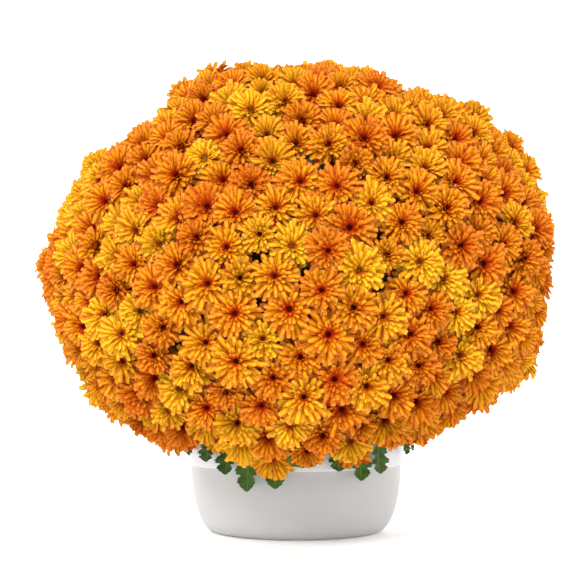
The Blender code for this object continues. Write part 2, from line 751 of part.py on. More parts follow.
def main():
    for leftover in list(bpy.data.objects):
        bpy.data.objects.remove(leftover)
    grey = material("planter plastic", (0.60, 0.57, 0.55), 0.45)
    peat = material("peat soil", (0.035, 0.022, 0.014), 0.95)
    bronze = material("bloom petals", (0.80, 0.34, 0.02), 0.6)
    green = material("leaf green", (0.07, 0.16, 0.025), 0.55)

    mound = Mound()
    turn, azimuth, spacing = bloom_places(mound)
    corners, loops, all_turn, all_azimuth = cells(mound, turn, azimuth, spacing)
    points, _ = mound.place(all_turn, all_azimuth)
    owner, spray_azimuth = spray_of_bloom(mound, points, corners)
    axes = bloom_axes(mound, all_turn, all_azimuth)

    share = np.sqrt((np.arange(SPRAY_COUNT) + 0.5) / SPRAY_COUNT)
    out = CROWN_OF_ROOTS * share
    feet = list(zip(out * np.cos(spray_azimuth), out * np.sin(spray_azimuth)))
    planter(grey)
    soil(peat, feet)
    skirts = [[] for _ in range(SPRAY_COUNT)]
    for degrees, length in SKIRT_LEAVES:
        hanging = math.radians(degrees - 90)
        off = [math.cos(hanging - a) for a in spray_azimuth[-SKIRT_SHOOTS:]]
        skirts[SPRAY_COUNT - SKIRT_SHOOTS + int(np.argmax(off))].append((hanging, length))
    for j in range(SPRAY_COUNT):
        members = np.flatnonzero(owner == j)
        head = spray(f"blooms_{j + 1:02d}", members, corners, loops, points, axes, bronze)
        tree = BVHTree.FromObject(head, bpy.context.evaluated_depsgraph_get())
        heads = points[members]
        shoot(f"shoot_{j + 1:02d}", feet[j], tree, heads.mean(0), heads, skirts[j], green)


main()
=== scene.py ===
"""Looks of the pot chrysanthemum: a garden mum in full bloom in a shallow round planter.

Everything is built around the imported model. Lengths are in metres, +Z is up and -Y is the front.
"""

import math

import bpy
import numpy as np
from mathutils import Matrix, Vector


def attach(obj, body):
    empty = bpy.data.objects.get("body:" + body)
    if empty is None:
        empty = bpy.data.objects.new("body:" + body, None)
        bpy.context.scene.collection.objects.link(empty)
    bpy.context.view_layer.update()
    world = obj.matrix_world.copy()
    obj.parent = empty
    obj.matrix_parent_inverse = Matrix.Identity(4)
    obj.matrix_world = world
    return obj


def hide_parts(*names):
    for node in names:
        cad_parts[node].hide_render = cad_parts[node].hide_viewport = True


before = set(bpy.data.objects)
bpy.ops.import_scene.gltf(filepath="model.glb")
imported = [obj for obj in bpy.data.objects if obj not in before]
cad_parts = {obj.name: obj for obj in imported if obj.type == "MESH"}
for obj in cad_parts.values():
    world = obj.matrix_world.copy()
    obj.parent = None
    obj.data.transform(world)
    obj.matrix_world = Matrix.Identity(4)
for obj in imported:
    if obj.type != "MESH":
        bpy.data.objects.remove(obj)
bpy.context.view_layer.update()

# The planter
#
# One piece of moulded plastic: a curved body under a smooth band that stands a little proud of it. It stands
# on a foot ring that is cut away in five shallow notches. The band is paler than the body.

POT_RADIUS = 0.115
POT_HEIGHT = 0.105
BAND_LOW = 0.071  # height of the band's lower edge
BAND_STEP = 0.004  # how far the band stands proud of the body
BAND_TAPER = 0.0005  # the band's lower edge is this much inside its rim
EDGE_ROUND = 0.0013  # radius of the round on that edge
BASE_RADIUS = 0.086
FOOT_HEIGHT = 0.003
FOOT_WIDTH = 0.005
FOOT_BEVEL = 0.0006
WALL = 0.0028
NOTCHES = 5
NOTCH_HALF = 0.0085
NOTCH_SLOPE = 0.0024  # width of each of a notch's sloping ends
NOTCH_RISE = 0.0026
POT_SIDES = 180
BODY_GREY = (0.550, 0.545, 0.535)
BAND_GREY = (0.790, 0.800, 0.810)
CLOUD_GREY = (0.50, 0.49, 0.475)
# Grey of the painted shade by the foot.
FOOT_SHADE_GREY = (0.50, 0.47, 0.43)


def grid(rows, columns, around=False):
    """Quads of a grid of points in rows, as index numbers. Around joins each row's end to its start."""
    here = np.arange(rows * columns).reshape(rows, columns)
    if around:
        here = np.concatenate([here, here[:, :1]], axis=1)
    return np.stack([here[:-1, :-1], here[:-1, 1:], here[1:, 1:], here[1:, :-1]], -1).reshape(-1, 4)


def repeated(quads, count, points_each):
    """The same quads for each of count copies of a shape."""
    return (quads[None] + (np.arange(count) * points_each)[:, None, None]).reshape(-1, 4)


def piece(name, points, quads, finish, node, attributes=None):
    """A finished piece that stands for one CAD node, or for none: with its material and attributes."""
    mesh = bpy.data.meshes.new(name)
    mesh.from_pydata(points.reshape(-1, 3).astype(float), [], quads)
    for key, values in (attributes or {}).items():
        made = mesh.attributes.new(key, "FLOAT_VECTOR", "POINT")
        made.data.foreach_set("vector", values.reshape(-1).astype(np.float32))
    mesh.materials.append(finish)
    mesh.shade_smooth()
    made = bpy.data.objects.new(name, mesh)
    bpy.context.scene.collection.objects.link(made)
    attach(made, "root")
    if node:
        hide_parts(node)
    return made


class Term:
    """A number that varies over a surface. Arithmetic on it adds Math nodes to its material."""

    def __init__(self, finish, socket):
        self.finish = finish
        self.socket = socket

    def math(self, operation, *values, **settings):
        return self.finish.node("Math", dict(enumerate(values)), operation=operation, **settings)

    def __add__(self, other):
        return self.math("ADD", self, other)

    __radd__ = __add__

    def __sub__(self, other):
        return self.math("SUBTRACT", self, other)

    def __rsub__(self, other):
        return self.math("SUBTRACT", other, self)

    def __mul__(self, other):
        return self.math("MULTIPLY", self, other)

    __rmul__ = __mul__

    def __abs__(self):
        return self.math("ABSOLUTE", self)

    def sine(self):
        return self.math("SINE", self)

    def kept(self):
        """The number held between 0 and 1."""
        return self.math("ADD", self, 0.0, use_clamp=True)

    def step(self, low, high):
        """0 below low, 1 above high, and smooth between them."""
        inputs = {"Value": self, "From Min": low, "From Max": high}
        return self.finish.node("MapRange", inputs, interpolation_type="SMOOTHSTEP")


class Finish:
    """A material in the making, around one Principled shader."""

    def __init__(self, name, constants):
        self.material = bpy.data.materials.new(name)
        self.material.use_nodes = True
        self.tree = self.material.node_tree
        self.shader = self.tree.nodes["Principled BSDF"]
        for key, value in constants.items():
            self.feed(self.shader.inputs[key], value)

    def feed(self, socket, value):
        """Links a Term to a socket, or sets the socket to a plain value."""
        if isinstance(value, Term):
            self.tree.links.new(value.socket, socket)
        elif socket.type == "RGBA" and len(value) == 3:
            socket.default_value = (*value, 1.0)
        else:
            socket.default_value = value

    def node(self, kind, inputs, output=0, stops=None, **settings):
        """Adds any node: its settings and a ramp's stops first, then its sockets. Gives one output."""
        made = self.tree.nodes.new("ShaderNode" + kind)
        for key, value in settings.items():
            setattr(made, key, value)
        for number, (place, colour) in enumerate(stops or []):
            ramp = made.color_ramp.elements
            stop = ramp[number] if number < 2 else ramp.new(place)
            stop.position = place
            stop.color = (*colour, 1.0)
        for key, value in inputs.items():
            self.feed(made.inputs[key], value)
        return Term(self, made.outputs[output])

    def mix(self, share, first, second):
        """The first colour, with that share of the second mixed in."""
        return self.node("Mix", {0: share, 6: first, 7: second}, 2, data_type="RGBA")

    def place(self):
        return self.node("TexCoord", {}, "Object")

    def noise(self, scale, detail=2.0):
        return self.node("TexNoise", {"Vector": self.place(), "Scale": scale, "Detail": detail})

    def parts(self, vector):
        """The three numbers of a vector."""
        return [self.node("SeparateXYZ", {0: vector}, k) for k in range(3)]

    def attribute(self, name):
        """The three numbers of a mesh attribute."""
        return self.parts(self.node("Attribute", {}, "Vector", attribute_name=name))

    def done(self, colour, roughness, height=None, depth=0.0):
        """Feeds the shader's colour and roughness, and a bump of that depth in metres."""
        self.feed(self.shader.inputs["Base Color"], colour)
        self.feed(self.shader.inputs["Roughness"], roughness)
        if height is not None:
            bump = self.node("Bump", {"Height": height, "Distance": depth, "Strength": 1.0})
            self.tree.links.new(bump.socket, self.shader.inputs["Normal"])
        return self.material


def planter_profile():
    """(radius, height) up the outside and down the inside.

    The body is a quarter of an ellipse from the foot to the band, and each edge of the band is a small round.
    """
    rise = np.linspace(0, 1, 26)
    bulge = POT_RADIUS - BAND_STEP - BASE_RADIUS
    body = np.stack([BASE_RADIUS + bulge * np.sqrt(1 - (1 - rise) ** 2), rise * BAND_LOW], -1)
    turn = np.linspace(0, math.pi / 2, 5)
    edge = np.array([POT_RADIUS - BAND_TAPER - EDGE_ROUND, BAND_LOW + EDGE_ROUND])
    low_round = edge + EDGE_ROUND * np.stack([np.sin(turn), -np.cos(turn)], -1)
    turn = np.linspace(0, math.pi, 9)
    middle = np.array([POT_RADIUS - WALL / 2, POT_HEIGHT - WALL / 2])
    lip = middle + WALL / 2 * np.stack([np.cos(turn), np.sin(turn)], -1)
    underside = [(0.0, FOOT_HEIGHT), (BASE_RADIUS - FOOT_WIDTH, FOOT_HEIGHT), (BASE_RADIUS - FOOT_WIDTH, 0.0)]
    foot = [(BASE_RADIUS - FOOT_WIDTH + FOOT_BEVEL, 0.0), (BASE_RADIUS - FOOT_BEVEL, 0.0)]
    inside = body[::-4] - [WALL, 0.0]
    inside = inside[inside[:, 1] > FOOT_HEIGHT + WALL]
    floor = [(BASE_RADIUS - WALL, FOOT_HEIGHT + WALL), (0.0, FOOT_HEIGHT + WALL)]
    return np.concatenate([underside, foot, body, low_round, lip, inside, floor])


def planter_points(profile, sides):
    """The profile turned about Z. The foot's points are lifted where a notch passes."""
    angle = np.arange(sides) * math.tau / sides
    radius, height = profile[:, :1], np.repeat(profile[:, 1:], sides, axis=1)
    points = np.stack([radius * np.cos(angle), radius * np.sin(angle), height], -1)
    middle = np.arange(NOTCHES) * math.tau / NOTCHES - math.pi / 2
    off = np.abs(np.angle(np.exp(1j * (angle[:, None] - middle)))).min(1) * BASE_RADIUS
    cut = np.clip((NOTCH_HALF + NOTCH_SLOPE / 2 - off) / NOTCH_SLOPE, 0, 1) * NOTCH_RISE
    outer = profile[:, 0] > BASE_RADIUS - FOOT_WIDTH - 1e-6
    low = outer & (profile[:, 1] < FOOT_HEIGHT)
    points[low, :, 2] = np.maximum(points[low, :, 2], cut)
    return points


def planter_plastic():
    """Satin grey plastic: a paler band, faint clouding, a fine mould grain and painted shade by the foot."""
    look = Finish("moulded planter plastic", {"Specular IOR Level": 0.35})
    z = look.parts(look.place())[2]
    cloud = look.noise(14.0, 3.0)
    band = z.step(BAND_LOW - 0.0004, BAND_LOW + 0.0004)
    colour = look.mix(band, BODY_GREY, BAND_GREY)
    colour = look.mix(cloud.step(0.35, 0.7) * 0.35, colour, CLOUD_GREY)
    # Painted shade: the lowest 12 mm darken and warm towards that grey, by the floor.
    foot_shade = (1 - z.step(0.0, 0.012)) * 0.5
    colour = look.mix(foot_shade, colour, FOOT_SHADE_GREY)
    grain = look.noise(1500.0, 2.0)
    return look.done(colour, look.noise(60.0) * 0.12 + 0.40, height=grain, depth=0.00004)


profile = planter_profile()
planter = piece(
    "planter_moulding",
    planter_points(profile, POT_SIDES),
    grid(len(profile), POT_SIDES, around=True),
    planter_plastic(),
    "planter",
)
planter.data.set_sharp_from_angle(angle=math.radians(38))

# The soil
#
# Peat, filled to 15 mm below the rim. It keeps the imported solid. Crumbs of it lie loose on the top.

SOIL_TOP = 0.0928
SOIL_RADIUS = 0.106
SOIL_LEVEL_SHARE = 0.72  # of its radius: further out the soil falls towards the wall
SOIL_FALL = 0.0107  # how much it would fall over a whole radius
CRUMBS = 700
CRUMB_HALF = (0.0006, 0.0022)


def peat():
    """Near-black fibrous brown, rough and crumbly."""
    look = Finish("moist peat", {"Specular IOR Level": 0.2})
    lumps = look.noise(260.0, 6.0)
    fibre = look.noise(900.0, 4.0)
    colour = look.mix(lumps.step(0.4, 0.65), (0.012, 0.007, 0.004), (0.060, 0.036, 0.021))
    return look.done(colour, fibre * 0.2 + 0.8, height=lumps + fibre * 0.4, depth=0.002)


def crumb_points(draw):
    """Cubes pulled towards balls, each stretched and turned by its own draws, spread evenly over a disc."""
    corner = np.array([(x, y, z) for z in (-1, 1) for x, y in ((-1, -1), (1, -1), (1, 1), (-1, 1))], float)
    shake = draw.uniform(-0.35, 0.35, (CRUMBS, 8, 3))
    size = draw.uniform(*CRUMB_HALF, (CRUMBS, 1, 1)) * draw.uniform(0.6, 1.3, (CRUMBS, 1, 3))
    shape = (corner + shake) / np.linalg.norm(corner + shake, axis=-1, keepdims=True) * size
    turn = draw.uniform(0, math.tau, CRUMBS)[:, None]
    x = shape[..., 0] * np.cos(turn) - shape[..., 1] * np.sin(turn)
    y = shape[..., 0] * np.sin(turn) + shape[..., 1] * np.cos(turn)
    out = SOIL_RADIUS * 0.93 * np.sqrt(draw.uniform(0, 1, CRUMBS))[:, None]
    around = draw.uniform(0, math.tau, CRUMBS)[:, None]
    level = SOIL_TOP - np.clip(out / SOIL_RADIUS - SOIL_LEVEL_SHARE, 0, 1) * SOIL_FALL
    return np.stack([x + out * np.cos(around), y + out * np.sin(around), shape[..., 2] + level], -1)


CRUMB_QUADS = np.array([(0, 3, 2, 1), (4, 5, 6, 7), (0, 1, 5, 4), (1, 2, 6, 5), (2, 3, 7, 6), (3, 0, 4, 7)])
draw = np.random.default_rng(31)
soil_look = peat()
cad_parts["soil"].data.materials.clear()
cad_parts["soil"].data.materials.append(soil_look)
piece("peat_crumbs", crumb_points(draw), repeated(CRUMB_QUADS, CRUMBS, 8), soil_look, None)

# The shoots
#
# Twenty woody green stems leave the soil and fork into stalks, one for each bloom. They carry lobed leaves:
# two under every bloom, and some that hang over the rim. A green cup at a stalk's end holds its bloom.

SEED = 7
GOLDEN_ANGLE = math.pi * (3 - math.sqrt(5))
BLOOM_COUNT = 571
SPRAY_COUNT = 20
BLOOM_STAGGER = 0.0055
CROWNED = 0.12
CROWN_DIMPLE = 0.004
MOUND_CENTRE = 0.262
MOUND_RADIUS = 0.257
MOUND_ABOVE = 0.224
MOUND_BELOW = 0.174
MOUND_UNDERCUT = 2.35  # above 2 the lower half is fuller than an ellipse
MOUND_END = math.radians(149)  # how far round from the crown the blooms reach
MOUND_LEAN = math.radians(3)  # towards the front
# Side and rise in degrees, height and spread in degrees of each swell.
SWELLS = [
    (180, 85, -0.010, 5),
    (180, 63, 0.025, 9),
    (180, 46, -0.042, 11),
    (180, 28, 0.012, 12),
    (180, 14, -0.006, 8),
    (180, 2, 0.018, 6),
    (180, -12, -0.026, 8),
    (180, -36, -0.004, 11),
    (0, 80, 0.010, 8),
    (0, 66, -0.014, 10),
    (0, 35, 0.022, 20),
    (0, -4, -0.020, 6),
    (0, -20, 0.018, 7),
    (-5, -38, -0.018, 15),
    (-90, -34, 0.018, 14),
    (-90, -48, 0.012, 14),
    (-120, 20, -0.008, 18),
    (60, 20, 0.012, 22),
    (95, -5, 0.008, 25),
]
LUMPS = 90
LUMP_HEIGHT = 0.008
LUMP_SPREAD = 8
LUMP_SEED = 15
SHAKE = 0.34  # of the spacing: how far a bloom may start from its even place
EASE_PASSES = 12
EASE_TO = 0.93  # of the spacing: blooms nearer than this are eased apart
EASE_STEP = 0.3
# Which way the surface looks, and how its blooms turn up from that.
NORMAL_ELEVATION = [-90, -60, -30, 0, 45, 90]
BLOOM_ELEVATION = [-52, -30, -12, 8, 38, 90]
FRONT_PULL = 0.25
BLOOM_RADIUS = 0.0244
DROOP_KEPT = 0.35  # of the downward tilt of a bloom under the mound
FRONT_TURN = 1.1  # how strongly the blooms of the front half turn to the front
SUNK = 0.52  # how far a turned bloom sits back among its neighbours, of the height that its edge gains
# Where blooms stand out of the mound or back into it: side and rise in degrees, how far, spread in degrees.
STANDING_OUT = [
    (180, 2, 0.009, 6),
    (180, 13, 0.003, 5),
    (180, 23, 0.006, 6),
    (180, 34, 0.004, 6),
    (180, 53, 0.004, 5),
    (180, 64, 0.003, 5),
    (180, 78, -0.005, 5),
    (180, -9, -0.007, 4),
    (180, -33, 0.007, 5),
    (180, -50, 0.005, 6),
    (180, -62, 0.006, 6),
    (0, 79, 0.005, 5),
    (0, 60, 0.003, 5),
    (0, 16, 0.003, 5),
    (0, -6, -0.009, 4),
    (0, -20, 0.007, 5),
    (0, -27, -0.004, 3),
    (0, -36, 0.005, 4),
    (0, -57, 0.008, 6),
]
HEART_DEPTH = 0.0085  # of a bloom's heart, behind the surface of the mound
CUP_DEPTH = 0.0065  # of the green cup's root, behind the heart
STEM_RADIUS = 0.0034
STEM_KNOTS = 14
STEM_END_DEPTH = 0.034  # of a stem's upper end, behind the middle of its blooms
STEM_IN_SOIL = 0.012
STALK_RADIUS = 0.0012
CUP_RADII = np.array([0.0016, 0.0040, 0.0052, 0.0040])
CROWN_OF_ROOTS = 0.090  # radius within which the shoots leave the soil
FIRST_OUTER = 12  # from this shoot on they stand near the rim, and carry the leaves that hang over it
LEAF_LENGTH = 0.060
LEAF_HALF_WIDTH = 0.017
# Leaves over the rim: direction in degrees from the front, and length as a share of the path below.
SKIRT_LEAVES = [
    (-47, 0.60),
    (-34.5, 0.85),
    (-23, 1.20),
    (-9.5, 1.12),
    (6, 0.65),
    (20, 0.75),
    (31.5, 0.98),
    (43, 0.85),
    (66, 0.50),
    (92, 0.50),
    (118, 0.55),
    (144, 0.80),
    (170, 1.05),
    (196, 0.90),
    (222, 0.75),
    (248, 0.55),
    (274, 0.50),
    (298, 0.50),
]
# The way of these leaves over the rim: distance outside it, and height above it.
SKIRT_PATH = np.array(
    [
        (0.001, 0.0036),
        (0.0052, -0.0035),
        (0.0058, -0.013),
        (0.006, -0.02),
        (0.0064, -0.028),
        (0.007, -0.036),
        (0.0085, -0.045),
    ]
)
SKIRT_HALF_WIDTH = 0.0125
LEAF_ROWS = 14
SKIRT_ROWS = 41


def swells(places):
    """(direction, height, spread) of each place in a list."""
    found = []
    for side, rise, height, spread in places:
        a, e = math.radians(side), math.radians(rise)
        towards = np.array([math.cos(a) * math.cos(e), math.sin(a) * math.cos(e), math.sin(e)])
        found.append((towards, height, math.radians(spread)))
    return found


def lumps():
    """(direction, height, spread) of the seeded lumps."""
    draw = np.random.default_rng(LUMP_SEED)
    found = []
    for _ in range(LUMPS):
        towards = draw.normal(size=3)
        height = draw.uniform(-LUMP_HEIGHT, LUMP_HEIGHT)
        found.append((towards / np.linalg.norm(towards), height, math.radians(LUMP_SPREAD)))
    return found


def raised_by(out, places):
    """How far the swells lift the surface along each unit vector."""
    total = np.zeros(out.shape[:-1])
    for towards, height, spread in places:
        off = np.arccos(np.clip(out @ towards, -1, 1)) / spread
        total = total + height * np.exp(-(off**2) / 2)
    return total


class Mound:
    """The surface on which the blooms' centres lie.

    It is a turned dome with a full lower half, pushed in and out by the swells and lumps and leaned to the
    front. A place on it is its turn, the angle down from the crown, and its azimuth.
    """

    def __init__(self):
        self.swells = swells(SWELLS) + lumps()
        self.turn = np.linspace(0.002, MOUND_END + 0.35, 3000)
        sine, cosine = np.sin(self.turn), np.cos(self.turn)
        upper = self.turn <= math.pi / 2
        fuller = 2 / MOUND_UNDERCUT
        self.radius = MOUND_RADIUS * np.where(upper, sine, np.abs(sine) ** fuller)
        drop = -MOUND_BELOW * np.abs(cosine) ** fuller
        self.height = MOUND_CENTRE + np.where(upper, MOUND_ABOVE * cosine, drop)
        dr, dz = np.gradient(self.radius), np.gradient(self.height)
        step = np.hypot(dr, dz)
        self.normal_r, self.normal_z = -dz / step, dr / step
        self.arc = np.concatenate([[self.radius[0]], self.radius[0] + np.cumsum(step[1:])])
        self.area = np.cumsum(math.tau * self.radius * step)

    def at(self, values, turn):
        return np.interp(turn, self.turn, values)

    def place(self, turn, azimuth):
        """(points, outward normals) of arrays of places."""
        radius, height = self.at(self.radius, turn), self.at(self.height, turn)
        nr, nz = self.at(self.normal_r, turn), self.at(self.normal_z, turn)
        size = np.hypot(nr, nz)
        around = np.stack([np.cos(azimuth), np.sin(azimuth), np.zeros_like(azimuth)], -1)
        up = np.array([0.0, 0.0, 1.0])
        normal = (nr / size)[..., None] * around + (nz / size)[..., None] * up
        point = radius[..., None] * around + height[..., None] * up
        out = point - MOUND_CENTRE * up
        out = out / np.linalg.norm(out, axis=-1, keepdims=True)
        point = point + out * raised_by(out, self.swells)[..., None]
        c, s = math.cos(MOUND_LEAN), math.sin(MOUND_LEAN)
        lean = np.array([[1, 0, 0], [0, c, s], [0, -s, c]])
        pivot = np.array([0.0, 0.0, POT_HEIGHT])
        return (point - pivot) @ lean + pivot, normal @ lean


def bloom_places(mound):
    """(turn, azimuth) of each bloom: a sunflower spiral even in area, shaken, then eased apart."""
    draw = np.random.default_rng(SEED)
    covered = mound.at(mound.area, MOUND_END)
    spacing = math.sqrt(covered / BLOOM_COUNT * 2 / math.sqrt(3))
    index = np.arange(BLOOM_COUNT)
    turn = np.interp(covered * (index + 0.5) / BLOOM_COUNT, mound.area, mound.turn)
    azimuth = index * GOLDEN_ANGLE
    shake = draw.uniform(-SHAKE, SHAKE, (2, BLOOM_COUNT)) * spacing
    per_turn = mound.at(np.gradient(mound.arc, mound.turn), turn)
    turn = np.clip(turn + shake[0] / per_turn, 0.01, MOUND_END)
    azimuth = azimuth + shake[1] / mound.at(mound.radius, turn)
    for _ in range(EASE_PASSES):
        point, normal = mound.place(turn, azimuth)
        apart = point[:, None] - point[None]
        distance = np.linalg.norm(apart, axis=-1) + np.eye(BLOOM_COUNT)
        push = np.clip(EASE_TO * spacing - distance, 0, None) * (1 - np.eye(BLOOM_COUNT))
        move = EASE_STEP * (apart / distance[..., None] * push[..., None]).sum(1)
        around = np.stack([-np.sin(azimuth), np.cos(azimuth), np.zeros(BLOOM_COUNT)], -1)
        down = np.cross(around, normal)
        per_turn = mound.at(np.gradient(mound.arc, mound.turn), turn)
        turn = np.clip(turn + (move * down).sum(1) / per_turn, 0.01, MOUND_END)
        azimuth = azimuth + (move * around).sum(1) / mound.at(mound.radius, turn)
    return turn, azimuth


def bloom_axes(mound, turn, azimuth):
    """Unit vectors that the blooms face along: low blooms turn up to the light."""
    nr, nz = mound.at(mound.normal_r, turn), mound.at(mound.normal_z, turn)
    elevation = np.degrees(np.arctan2(nz, nr))
    turned_up = np.radians(np.interp(elevation, NORMAL_ELEVATION, BLOOM_ELEVATION))
    flat = np.cos(turned_up)
    axis = np.stack([flat * np.cos(azimuth), flat * np.sin(azimuth) - FRONT_PULL, np.sin(turned_up)], -1)
    return axis / np.linalg.norm(axis, axis=1)[:, None]


def unit(vectors):
    return vectors / np.linalg.norm(vectors, axis=-1, keepdims=True)


def spray_of(hearts):
    """The number of the CAD node whose mesh has a point at each bloom's heart."""
    misfit = []
    for number in range(1, SPRAY_COUNT + 1):
        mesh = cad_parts[f"blooms_{number:02d}"].data
        corners = np.empty(len(mesh.vertices) * 3, np.float32)
        mesh.vertices.foreach_get("co", corners)
        corners = np.unique(np.round(corners.reshape(-1, 3), 5), axis=0)
        misfit.append(np.linalg.norm(hearts[:, None] - corners[None], axis=-1).min(1))
    return np.argmin(misfit, axis=0)


def joined(parts):
    """One list of points, quads and marks from several lists of them."""
    starts = np.cumsum([0] + [len(part[0]) for part in parts[:-1]])
    quads = [part[1] + start for part, start in zip(parts, starts)]
    rest = [np.concatenate(column) for column in list(zip(*parts))[2:]]
    return np.concatenate([part[0] for part in parts]), np.concatenate(quads), *rest


def tubes(lines, radii, sides):
    """Stems along lines (count, knots, 3): a ring of points about each knot, square to the line."""
    count, knots, _ = lines.shape
    ahead = unit(np.gradient(lines, axis=1))
    level = np.cross(ahead, np.array([0.31, 0.17, 0.93]))
    first = unit(level)
    second = np.cross(ahead, first)
    angle = np.arange(sides) * math.tau / sides
    ring = np.cos(angle)[:, None] * first[:, :, None] + np.sin(angle)[:, None] * second[:, :, None]
    points = lines[:, :, None] + ring * np.broadcast_to(radii, (count, knots))[..., None, None]
    fan = np.array([(0, k + 1, k + 2, k + 3) for k in range(0, sides - 2, 2)])
    quads = np.concatenate([grid(knots, sides, around=True), fan[:, ::-1], fan + (knots - 1) * sides])
    return points.reshape(-1, 3), repeated(quads, count, knots * sides)


def bent(start, pull, end, knots):
    """Points on the bent line from start to end that leaves start towards pull."""
    share = np.linspace(0, 1, knots)[:, None]
    return (
        start[..., None, :] * (1 - share) ** 2
        + pull[..., None, :] * 2 * share * (1 - share)
        + end[..., None, :] * share**2
    )


def blades(lines, faces, half_width, across, lobes, draws):
    """Lobed leaves along lines (count, rows, 3) whose upper sides look along faces.

    The half width is that of an egg, wider towards the tip, cut in by rounded bays between the lobes and by
    fine teeth. The lobes lean forward, the blade folds up a little from its midrib, and its edge waves.
    """
    count, rows, _ = lines.shape
    t = np.linspace(0, 1, rows)
    s = np.linspace(-1, 1, across)
    egg = np.sin(math.pi * t**1.15) ** 0.55 * (0.62 + 0.45 * t) + 0.04 * (1 - t)
    bays = 1 - 0.36 * (0.5 + 0.5 * np.cos(math.tau * lobes * t + draws[:, :1])) ** 4 * (1 - t**8)
    teeth = 1 + 0.08 * np.cos(math.tau * 3 * lobes * t)
    half = half_width[:, None] * egg * bays * teeth
    ahead = unit(np.gradient(lines, axis=1))
    right = unit(np.cross(ahead, faces))
    up = np.cross(right, ahead)
    side = s[None, None, :] * half[..., None]
    forward = (s**2)[None, None, :] * half[..., None] * 0.35 * np.sin(math.pi * t)[None, :, None]
    fold = np.abs(side) * (0.22 + 0.15 * draws[:, 1:2, None])
    wave = 0.10 * side * np.sin(math.tau * (lobes * t[None, :, None] + draws[:, 2:3, None]))
    points = (
        lines[:, :, None]
        + right[:, :, None] * side[..., None]
        + ahead[:, :, None] * forward[..., None]
        + up[:, :, None] * (fold + wave)[..., None]
    )
    marks = np.stack(np.broadcast_arrays(t[None, :, None], s[None, None, :], draws[:, 3:4, None]), -1)
    return points.reshape(-1, 3), repeated(grid(rows, across), count, rows * across), marks.reshape(-1, 3)


def foliage():
    """Leaf green: a paler midrib and side veins that run out to the lobes, and a fine mottle."""
    look = Finish("leaf green", {"Specular IOR Level": 0.25})
    t, s, tone = look.attribute("blade")
    off = abs(s)
    mottle = look.noise(220.0, 3.0)
    midrib = 1 - off.step(0.02, 0.10)
    branch = abs(((t - off * 0.16) * 3.0 * math.pi).sine())
    side_vein = (1 - branch.step(0.03, 0.16)) * (1 - off.step(0.75, 1.0)) * 0.6
    vein = (midrib + side_vein).kept()
    young = look.mix(tone.step(0.0, 1.0), (0.030, 0.080, 0.007), (0.075, 0.165, 0.014))
    colour = look.mix(mottle.step(0.35, 0.7) * 0.5, young, (0.022, 0.065, 0.005))
    colour = look.mix(vein * 0.55, colour, (0.17, 0.30, 0.050))
    return look.done(colour, mottle * 0.2 + 0.42, height=mottle * 0.5 - vein * 0.6, depth=0.0006)


mound = Mound()
turn, azimuth = bloom_places(mound)
middles, normals = mound.place(turn, azimuth)
axes = bloom_axes(mound, turn, azimuth)
draw = np.random.default_rng(SEED + 1)
lifts = draw.uniform(-1, 1, BLOOM_COUNT) * BLOOM_STAGGER
crowned = draw.uniform(0, 1, BLOOM_COUNT) < CROWNED
tops = middles + axes * lifts[:, None]
spray_number = spray_of(tops - axes * (crowned * CROWN_DIMPLE)[:, None])

# Each bloom's own size and turn. The blooms along the lower edge turn up to show their faces.
draw = np.random.default_rng(SEED + 4)
opened = 1 - draw.uniform(0, 1, BLOOM_COUNT) ** 3
radius = BLOOM_RADIUS * draw.uniform(0.86, 1.10, BLOOM_COUNT) * (0.76 + 0.24 * opened)
raised = axes * np.where(axes[:, 2:] < 0, [1, 1, DROOP_KEPT], 1)
to_front = np.clip((0.35 - normals[:, 1:2]) / 0.7, 0, 1) * [0.0, -FRONT_TURN, 0.0]
facing = unit(raised + to_front + draw.uniform(-0.28, 0.28, (BLOOM_COUNT, 3)))
lean = np.linalg.norm(np.cross(facing, normals), axis=1) * radius
sunk = SUNK * lean * (1 - 0.55 * np.clip(-normals[:, 2], 0, 1))
outward = unit(tops - [0.0, 0.0, MOUND_CENTRE])
stands = raised_by(outward, swells(STANDING_OUT))
hearts = tops - facing * HEART_DEPTH - normals * sunk[:, None] + outward * stands[:, None]

draw = np.random.default_rng(SEED + 2)
leaf_look = foliage()
up = np.array([0.0, 0.0, 1.0])
spray_azimuth = np.arange(SPRAY_COUNT) * GOLDEN_ANGLE
feet_out = CROWN_OF_ROOTS * np.sqrt((np.arange(SPRAY_COUNT) + 0.5) / SPRAY_COUNT)
feet_x, feet_y = feet_out * np.cos(spray_azimuth), feet_out * np.sin(spray_azimuth)
feet = np.stack([feet_x, feet_y, np.full(SPRAY_COUNT, SOIL_TOP - STEM_IN_SOIL)], -1)
skirt_azimuth = np.radians([degrees - 90 for degrees, _ in SKIRT_LEAVES])
off_azimuth = skirt_azimuth[:, None] - spray_azimuth[None, FIRST_OUTER:]
skirt_owner = FIRST_OUTER + np.cos(off_azimuth).argmax(1)

